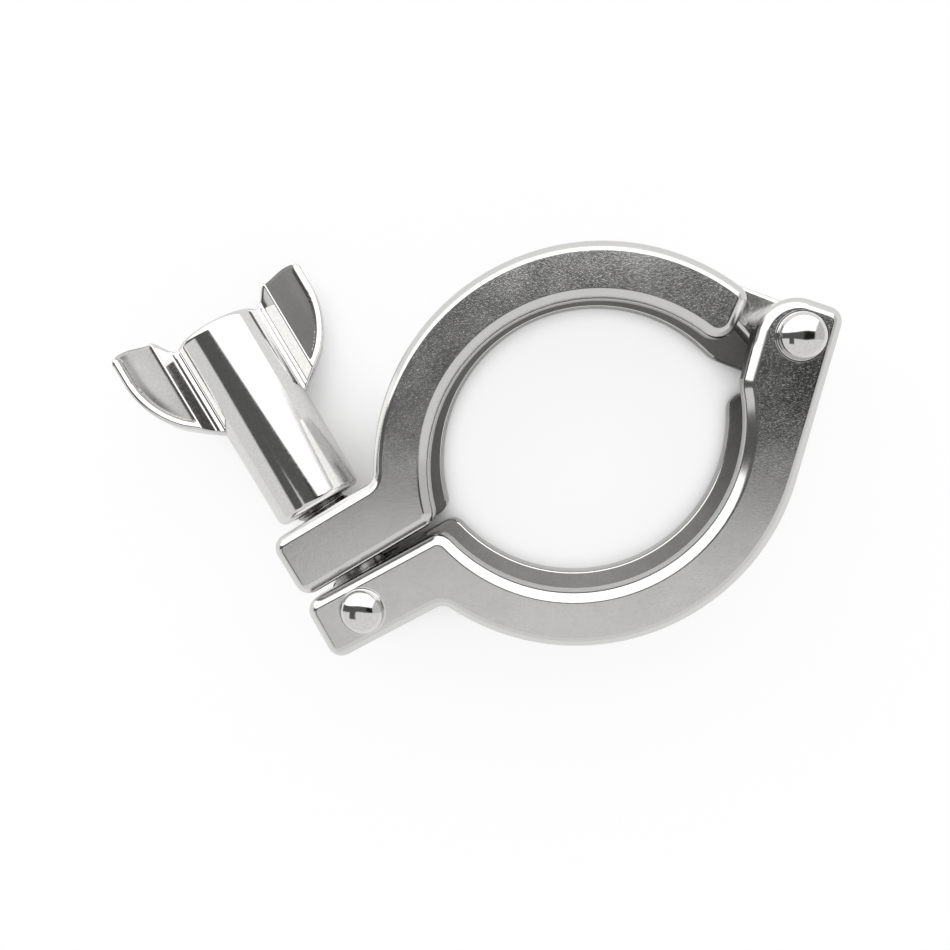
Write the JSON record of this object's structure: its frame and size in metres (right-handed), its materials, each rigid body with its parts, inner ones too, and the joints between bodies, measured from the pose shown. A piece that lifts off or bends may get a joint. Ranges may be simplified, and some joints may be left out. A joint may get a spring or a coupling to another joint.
{
  "type": "sanitary hinged clamp",
  "caption": "Sanitary hinged clamp: two cast stainless ring halves with a V groove, drawn round a pair of ferrule flanges by a wing nut on a swing bolt.",
  "frame": {"origin": "centre of the clamped ring on its axis, at mid width", "axes": "+Z along the ring's axis towards the rivets' domed heads; +X towards the hinge; the lugs and swing bolt are on -X and the wing nut points to +Y"},
  "size_m": [0.0887, 0.0681, 0.0196],
  "materials": {
    "cast_steel": "satin, tumbled casting",
    "polished_steel": "mirror polished",
    "thread_steel": "machined"
  },
  "bodies": {
    "base": {"lower_half": "cast_steel", "hinge_rivet": "polished_steel", "bolt_rivet": "polished_steel"},
    "upper": {"upper_half": "cast_steel"},
    "bolt": {"swing_bolt": "thread_steel"},
    "nut": {"wing_nut": "polished_steel"}
  },
  "joints": [
    {"name": "clamp_hinge", "type": "hinge", "parent": "base", "child": "upper", "pos_m": [0.0304, 0, 0], "axis": [0, 0, -1], "range_deg": [0, 10]},
    {"name": "bolt_swing", "type": "hinge", "parent": "base", "child": "bolt", "pos_m": [-0.03603, -0.00574, 0], "axis": [0, 0, 1], "range_deg": [0, 110]},
    {"name": "nut_travel", "type": "slide", "parent": "bolt", "child": "nut", "axis": [-0.0471, 0.9989, 0], "range_m": [0, 0.01222]}
  ],
  "couplings": [
    {"joint": "nut_travel", "follows": "clamp_hinge", "m_per_rad": 0.07}
  ]
}
